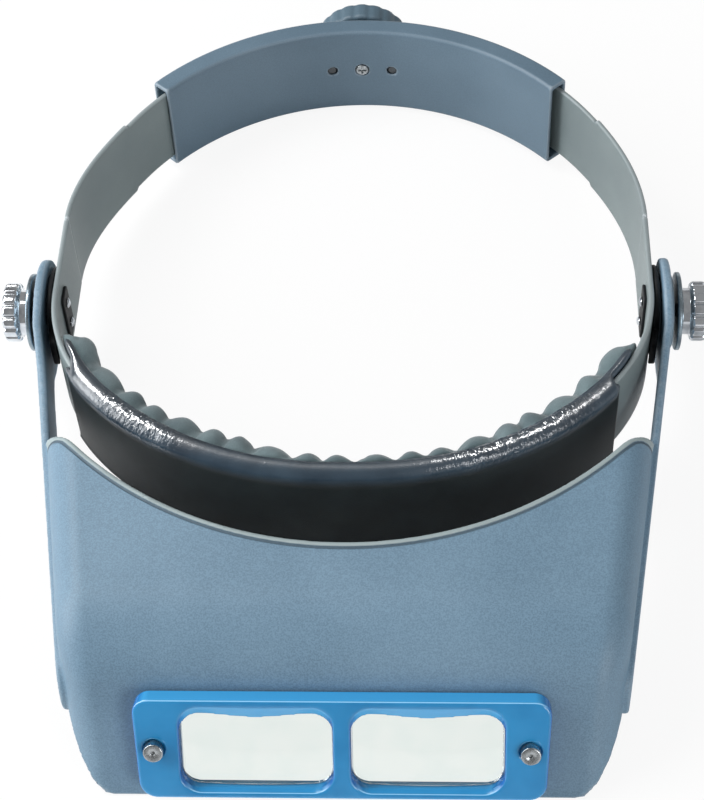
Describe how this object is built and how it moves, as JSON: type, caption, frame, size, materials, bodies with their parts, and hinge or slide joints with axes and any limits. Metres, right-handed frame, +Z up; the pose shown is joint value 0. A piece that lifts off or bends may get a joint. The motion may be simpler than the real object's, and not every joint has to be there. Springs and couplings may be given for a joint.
{
  "type": "head visor magnifier",
  "caption": "Headband with padded brow, hinged visor shell on side arms and a removable two-lens magnifier plate, sized by a rear knob.",
  "frame": {"origin": "on the floor under the middle of the object's bounding box, with the object resting on the visor's lower front edge and the rear sleeve's lower edge", "axes": "+Z up, -Y towards the lenses, +Y towards the rear knob, +X to the right seen from the lens side"},
  "size_m": [0.2018, 0.2594, 0.047],
  "materials": {
    "shell": "fine speckled satin moulding",
    "strap": "satin",
    "sleeve": "satin",
    "knob": "satin moulding",
    "plate": "gloss blue moulding",
    "lens": "polished clear acrylic",
    "vinyl": "glossy creased vinyl",
    "pad": "ribbed soft pad",
    "bracket": "black paint",
    "chrome": "polished",
    "steel": "satin",
    "friction": "fibre washer",
    "rubber": "matt",
    "resin": "acetal"
  },
  "bodies": {
    "headband": {"strap_front": "strap", "sweatband_cover": "vinyl", "sweatband_pad": "pad", "pivot_bracket_left": "bracket", "backing_plate_left": "bracket", "bracket_rivet_left_upper": "chrome", "bracket_rivet_left_lower": "chrome", "pivot_stud_left": "steel", "friction_washer_left": "friction", "spring_washer_left": "friction", "pivot_bracket_right": "bracket", "backing_plate_right": "bracket", "bracket_rivet_right_upper": "chrome", "bracket_rivet_right_lower": "chrome", "pivot_stud_right": "steel", "friction_washer_right": "friction", "spring_washer_right": "friction"},
    "visor": {"visor_shell": "shell"},
    "lens_set": {"lens_plate": "plate", "lens_left": "lens", "lens_right": "lens", "lens_pin_left": "steel", "lens_pin_right": "steel"},
    "rear_sleeve_body": {"rear_sleeve": "sleeve", "guide_pin_left": "rubber", "guide_pin_right": "rubber"},
    "adjuster": {"adjuster_knob": "knob", "adjuster_pinion": "resin", "knob_screw": "steel"},
    "tail_left": {"strap_tail_left": "strap"},
    "tail_right": {"strap_tail_right": "strap"},
    "washer_left": {"outer_washer_left": "steel"},
    "washer_right": {"outer_washer_right": "steel"},
    "nut_left": {"thumb_nut_left": "chrome"},
    "nut_right": {"thumb_nut_right": "chrome"}
  },
  "joints": [
    {"name": "visor_tilt", "type": "hinge", "parent": "headband", "child": "visor", "pos_m": [0, 0.01093, 0.02524], "axis": [-1, 0, 0], "range_deg": [-12, 75]},
    {"name": "lens_plate_release", "type": "slide", "parent": "visor", "child": "lens_set", "axis": [0, -0.833, 0.5532], "range_m": [0, 0.012]},
    {"name": "size_adjust", "type": "slide", "parent": "headband", "child": "rear_sleeve_body", "axis": [0, 0.9962, -0.087], "range_m": [-0.008, 0.008]},
    {"name": "tail_left_flex", "type": "hinge", "parent": "headband", "child": "tail_left", "pos_m": [-0.0843, 0.03514, 0.02312], "axis": [0, 0.087, 0.9962], "range_deg": [-5.6, 5.6]},
    {"name": "tail_right_flex", "type": "hinge", "parent": "headband", "child": "tail_right", "pos_m": [0.0843, 0.03514, 0.02312], "axis": [0, 0.087, 0.9962], "range_deg": [-5.6, 5.6]},
    {"name": "adjuster_turn", "type": "hinge", "parent": "rear_sleeve_body", "child": "adjuster", "pos_m": [0, 0.11952, 0.01576], "axis": [0, 0.9962, -0.087], "range_deg": [-76, 76]},
    {"name": "washer_left_advance", "type": "slide", "parent": "headband", "child": "washer_left", "axis": [-1, 0, 0], "range_m": [0, 0.0019]},
    {"name": "thumb_nut_left_turn", "type": "hinge", "parent": "washer_left", "child": "nut_left", "pos_m": [-0.096, 0.01093, 0.02524], "axis": [-1, 0, 0], "range_deg": [0, 720]},
    {"name": "washer_right_advance", "type": "slide", "parent": "headband", "child": "washer_right", "axis": [1, 0, 0], "range_m": [0, 0.0019]},
    {"name": "thumb_nut_right_turn", "type": "hinge", "parent": "washer_right", "child": "nut_right", "pos_m": [0.096, 0.01093, 0.02524], "axis": [1, 0, 0], "range_deg": [0, 720]}
  ],
  "couplings": [
    {"joint": "tail_left_flex", "follows": "size_adjust", "rad_per_m": 11.862},
    {"joint": "tail_right_flex", "follows": "size_adjust", "rad_per_m": -11.862},
    {"joint": "adjuster_turn", "follows": "size_adjust", "rad_per_m": -161.5},
    {"joint": "washer_left_advance", "follows": "thumb_nut_left_turn", "m_per_rad": 0.00012732},
    {"joint": "washer_right_advance", "follows": "thumb_nut_right_turn", "m_per_rad": 0.00012732}
  ]
}
